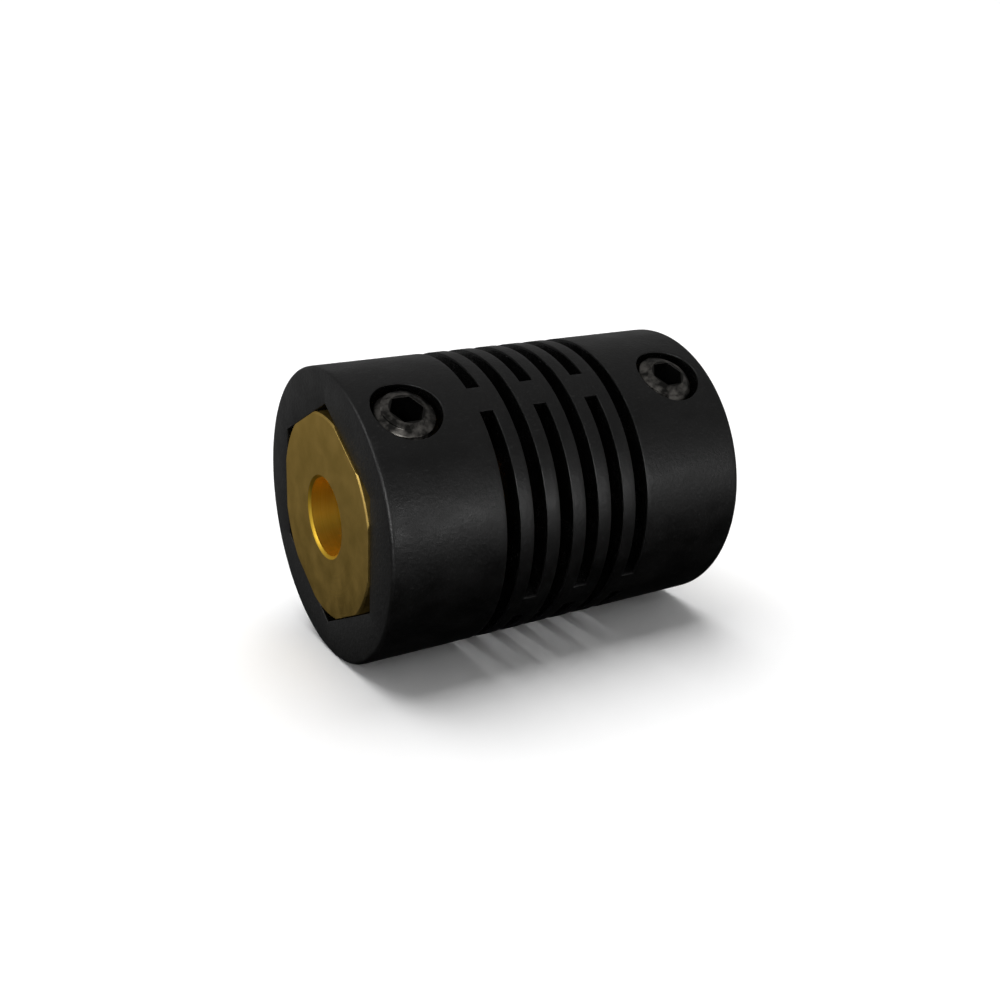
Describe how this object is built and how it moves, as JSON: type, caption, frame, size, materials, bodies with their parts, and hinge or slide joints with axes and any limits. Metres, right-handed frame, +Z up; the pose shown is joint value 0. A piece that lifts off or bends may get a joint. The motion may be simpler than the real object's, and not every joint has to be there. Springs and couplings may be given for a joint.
{
  "type": "slit beam coupling",
  "caption": "Moulded plastic shaft coupling that bends at slits cut across it, with hexagonal brass bore inserts held by set screws.",
  "frame": {"origin": "middle of the coupling, on the shaft axis", "axes": "+X along the shaft axis from the near hub to the far hub; +Z up; the set screws stand 34.5 degrees from +Z towards -Y"},
  "size_m": [0.0408, 0.03, 0.03],
  "materials": {
    "moulded_body": "semi-matt glass-filled plastic with a fine grain",
    "brass": "turned and faced brass, slightly dull on its face and bright in its bore",
    "screw_steel": "blackened steel, worn brighter round the socket"
  },
  "bodies": {
    "near_hub": {"near_hub_shell": "moulded_body", "near_brass_insert": "brass", "web_1_a": "moulded_body", "web_1_b": "moulded_body"},
    "disc_1": {"disc_1": "moulded_body", "web_2_a": "moulded_body", "web_2_b": "moulded_body"},
    "disc_2": {"disc_2": "moulded_body", "web_3_a": "moulded_body", "web_3_b": "moulded_body"},
    "disc_3": {"disc_3": "moulded_body", "web_4_a": "moulded_body", "web_4_b": "moulded_body"},
    "disc_4": {"disc_4": "moulded_body", "web_5_a": "moulded_body", "web_5_b": "moulded_body"},
    "disc_5": {"disc_5": "moulded_body", "web_6_a": "moulded_body", "web_6_b": "moulded_body"},
    "far_hub": {"far_hub_shell": "moulded_body", "far_brass_insert": "brass"},
    "near_screw": {"near_set_screw": "screw_steel"},
    "far_screw": {"far_set_screw": "screw_steel"}
  },
  "joints": [
    {"name": "flex_1", "type": "hinge", "parent": "near_hub", "child": "disc_1", "pos_m": [-0.0075, 0, 0], "axis": [0, -0.5664, 0.8241], "range_deg": [-1.7, 1.7], "stiffness_Nm_per_rad": 8, "deforming": ["web_1_a", "web_1_b"]},
    {"name": "flex_2", "type": "hinge", "parent": "disc_1", "child": "disc_2", "pos_m": [-0.0045, 0, 0], "axis": [0, 0.8241, 0.5664], "range_deg": [-1.7, 1.7], "stiffness_Nm_per_rad": 8, "deforming": ["web_2_a", "web_2_b"]},
    {"name": "flex_3", "type": "hinge", "parent": "disc_2", "child": "disc_3", "pos_m": [-0.0015, 0, 0], "axis": [0, -0.5664, 0.8241], "range_deg": [-1.7, 1.7], "stiffness_Nm_per_rad": 8, "deforming": ["web_3_a", "web_3_b"]},
    {"name": "flex_4", "type": "hinge", "parent": "disc_3", "child": "disc_4", "pos_m": [0.0015, 0, 0], "axis": [0, 0.8241, 0.5664], "range_deg": [-1.7, 1.7], "stiffness_Nm_per_rad": 8, "deforming": ["web_4_a", "web_4_b"]},
    {"name": "flex_5", "type": "hinge", "parent": "disc_4", "child": "disc_5", "pos_m": [0.0045, 0, 0], "axis": [0, -0.5664, 0.8241], "range_deg": [-1.7, 1.7], "stiffness_Nm_per_rad": 8, "deforming": ["web_5_a", "web_5_b"]},
    {"name": "flex_6", "type": "hinge", "parent": "disc_5", "child": "far_hub", "pos_m": [0.0075, 0, 0], "axis": [0, 0.8241, 0.5664], "range_deg": [-1.7, 1.7], "stiffness_Nm_per_rad": 8, "deforming": ["web_6_a", "web_6_b"]},
    {"name": "near_screw_travel", "type": "slide", "parent": "near_hub", "child": "near_screw", "axis": [0, -0.5664, 0.8241], "range_m": [-0.0015, 0.0042]},
    {"name": "far_screw_travel", "type": "slide", "parent": "far_hub", "child": "far_screw", "axis": [0, -0.5664, 0.8241], "range_m": [-0.0015, 0.0042]}
  ]
}
